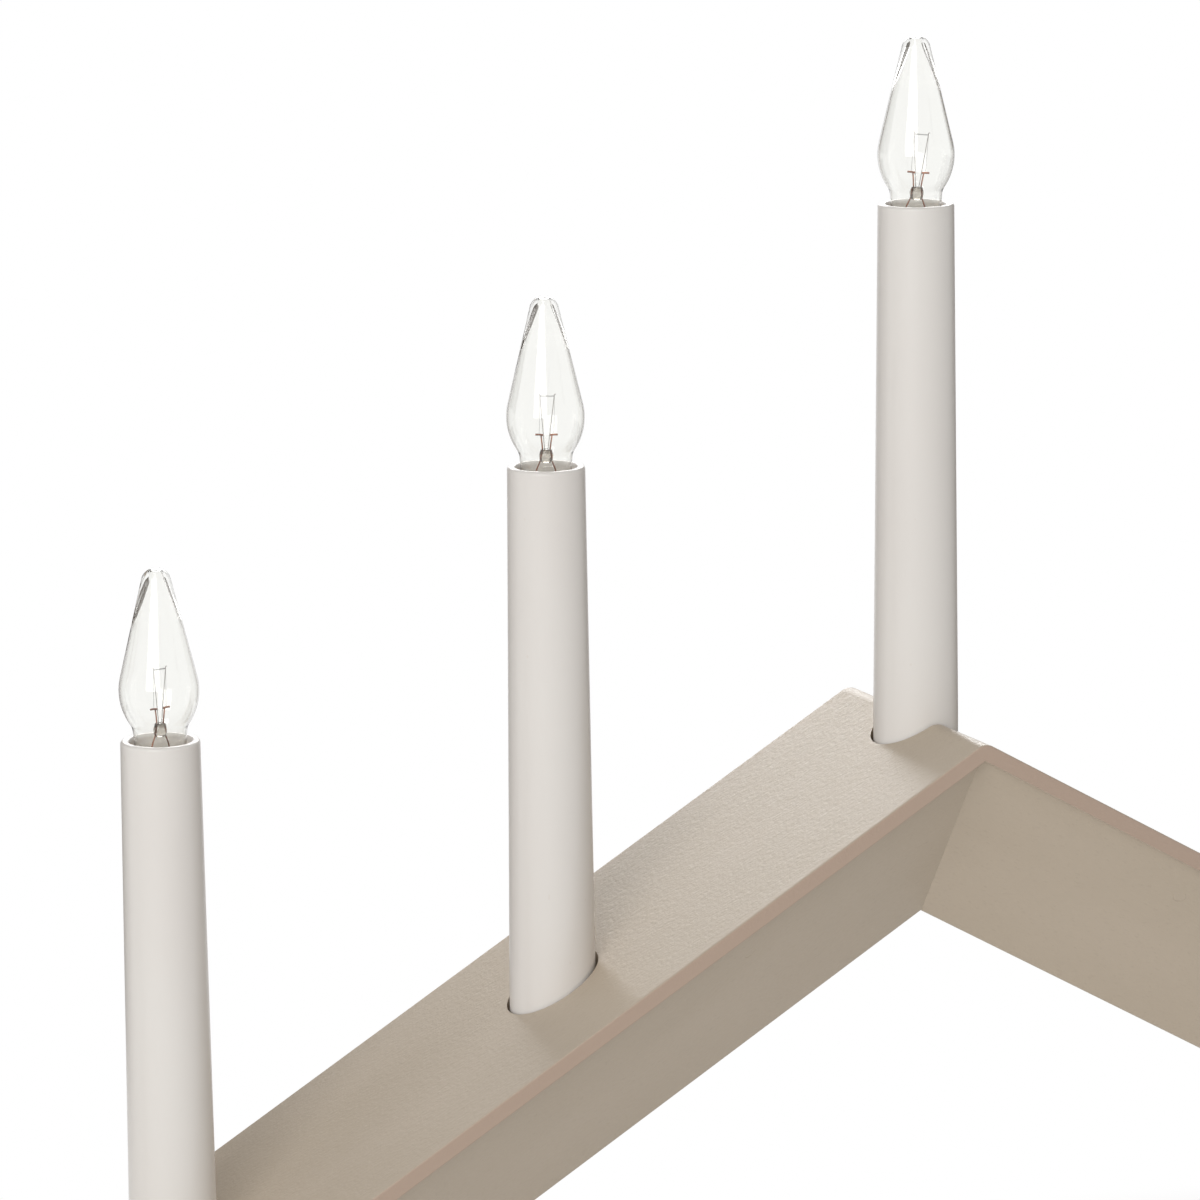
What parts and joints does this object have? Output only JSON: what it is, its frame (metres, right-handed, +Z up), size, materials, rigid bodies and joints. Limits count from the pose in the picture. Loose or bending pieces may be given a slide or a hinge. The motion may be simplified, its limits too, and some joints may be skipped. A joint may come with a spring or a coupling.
{
  "type": "electric candle arch",
  "caption": "Pitched-roof electric candle arch: hollow painted wooden arms carry upright plastic candle sleeves with clear pointed screw-in bulbs.",
  "frame": {"origin": "on the table, under the middle of the ridge", "axes": "+X along the arch, +Y from front to back, +Z up"},
  "size_m": [0.6, 0.063, 0.3231],
  "materials": {
    "painted_wood": "satin greige paint over fine wood grain",
    "bare_wood": "sawn, unpainted",
    "felt": "pressed felt",
    "sleeve_plastic": "satin off-white moulding",
    "holder_plastic": "moulded, matte",
    "brass": "drawn brass",
    "clear_glass": "clear blown glass",
    "mount_wire": "drawn nickel wire",
    "base_black": "black vitreous insulator with a soldered contact",
    "lead_insulation": "soft insulation",
    "grommet_rubber": "soft moulded rubber"
  },
  "bodies": {
    "frame": {"left_top_board": "painted_wood", "right_top_board": "painted_wood", "left_front_panel": "painted_wood", "right_front_panel": "painted_wood", "left_back_panel": "painted_wood", "right_back_panel": "painted_wood", "panel_brads": "painted_wood", "apex_block": "bare_wood", "seat_blocks": "bare_wood", "left_foot_block": "bare_wood", "right_foot_block": "bare_wood", "foot_pads": "felt", "candle_sleeve_1": "sleeve_plastic", "candle_sleeve_2": "sleeve_plastic", "candle_sleeve_3": "sleeve_plastic", "candle_sleeve_4": "sleeve_plastic", "candle_sleeve_5": "sleeve_plastic", "candle_sleeve_6": "sleeve_plastic", "candle_sleeve_7": "sleeve_plastic", "lamp_holder_1": "holder_plastic", "lamp_holder_2": "holder_plastic", "lamp_holder_3": "holder_plastic", "lamp_holder_4": "holder_plastic", "lamp_holder_5": "holder_plastic", "lamp_holder_6": "holder_plastic", "lamp_holder_7": "holder_plastic", "terminal_block": "holder_plastic", "screw_shells": "brass", "centre_contacts": "brass", "series_leads": "lead_insulation", "return_lead": "lead_insulation", "cable_grommet": "grommet_rubber"},
    "lift_1": {"bulb_base_1": "base_black"},
    "bulb_1": {"bulb_glass_1": "clear_glass", "bulb_cap_1": "brass", "bulb_mount_1": "mount_wire"},
    "lift_2": {"bulb_base_2": "base_black"},
    "bulb_2": {"bulb_glass_2": "clear_glass", "bulb_cap_2": "brass", "bulb_mount_2": "mount_wire"},
    "lift_3": {"bulb_base_3": "base_black"},
    "bulb_3": {"bulb_glass_3": "clear_glass", "bulb_cap_3": "brass", "bulb_mount_3": "mount_wire"},
    "lift_4": {"bulb_base_4": "base_black"},
    "bulb_4": {"bulb_glass_4": "clear_glass", "bulb_cap_4": "brass", "bulb_mount_4": "mount_wire"},
    "lift_5": {"bulb_base_5": "base_black"},
    "bulb_5": {"bulb_glass_5": "clear_glass", "bulb_cap_5": "brass", "bulb_mount_5": "mount_wire"},
    "lift_6": {"bulb_base_6": "base_black"},
    "bulb_6": {"bulb_glass_6": "clear_glass", "bulb_cap_6": "brass", "bulb_mount_6": "mount_wire"},
    "lift_7": {"bulb_base_7": "base_black"},
    "bulb_7": {"bulb_glass_7": "clear_glass", "bulb_cap_7": "brass", "bulb_mount_7": "mount_wire"}
  },
  "joints": [
    {"name": "bulb_1_lift", "type": "slide", "parent": "frame", "child": "lift_1", "axis": [0, 0, 1], "range_m": [0, 0.00635]},
    {"name": "bulb_1_screw", "type": "hinge", "parent": "lift_1", "child": "bulb_1", "pos_m": [-0.255, 0, 0.14267], "axis": [0, 0, 1], "range_deg": [0, 1260]},
    {"name": "bulb_2_lift", "type": "slide", "parent": "frame", "child": "lift_2", "axis": [0, 0, 1], "range_m": [0, 0.00635]},
    {"name": "bulb_2_screw", "type": "hinge", "parent": "lift_2", "child": "bulb_2", "pos_m": [-0.17, 0, 0.19115], "axis": [0, 0, 1], "range_deg": [0, 1260]},
    {"name": "bulb_3_lift", "type": "slide", "parent": "frame", "child": "lift_3", "axis": [0, 0, 1], "range_m": [0, 0.00635]},
    {"name": "bulb_3_screw", "type": "hinge", "parent": "lift_3", "child": "bulb_3", "pos_m": [-0.085, 0, 0.23963], "axis": [0, 0, 1], "range_deg": [0, 1260]},
    {"name": "bulb_4_lift", "type": "slide", "parent": "frame", "child": "lift_4", "axis": [0, 0, 1], "range_m": [0, 0.00635]},
    {"name": "bulb_4_screw", "type": "hinge", "parent": "lift_4", "child": "bulb_4", "pos_m": [0, 0, 0.28812], "axis": [0, 0, 1], "range_deg": [0, 1260]},
    {"name": "bulb_5_lift", "type": "slide", "parent": "frame", "child": "lift_5", "axis": [0, 0, 1], "range_m": [0, 0.00635]},
    {"name": "bulb_5_screw", "type": "hinge", "parent": "lift_5", "child": "bulb_5", "pos_m": [0.085, 0, 0.23963], "axis": [0, 0, 1], "range_deg": [0, 1260]},
    {"name": "bulb_6_lift", "type": "slide", "parent": "frame", "child": "lift_6", "axis": [0, 0, 1], "range_m": [0, 0.00635]},
    {"name": "bulb_6_screw", "type": "hinge", "parent": "lift_6", "child": "bulb_6", "pos_m": [0.17, 0, 0.19115], "axis": [0, 0, 1], "range_deg": [0, 1260]},
    {"name": "bulb_7_lift", "type": "slide", "parent": "frame", "child": "lift_7", "axis": [0, 0, 1], "range_m": [0, 0.00635]},
    {"name": "bulb_7_screw", "type": "hinge", "parent": "lift_7", "child": "bulb_7", "pos_m": [0.255, 0, 0.14267], "axis": [0, 0, 1], "range_deg": [0, 1260]}
  ],
  "couplings": [
    {"joint": "bulb_1_lift", "follows": "bulb_1_screw", "m_per_rad": 0.00028871},
    {"joint": "bulb_2_lift", "follows": "bulb_2_screw", "m_per_rad": 0.00028871},
    {"joint": "bulb_3_lift", "follows": "bulb_3_screw", "m_per_rad": 0.00028871},
    {"joint": "bulb_4_lift", "follows": "bulb_4_screw", "m_per_rad": 0.00028871},
    {"joint": "bulb_5_lift", "follows": "bulb_5_screw", "m_per_rad": 0.00028871},
    {"joint": "bulb_6_lift", "follows": "bulb_6_screw", "m_per_rad": 0.00028871},
    {"joint": "bulb_7_lift", "follows": "bulb_7_screw", "m_per_rad": 0.00028871}
  ]
}
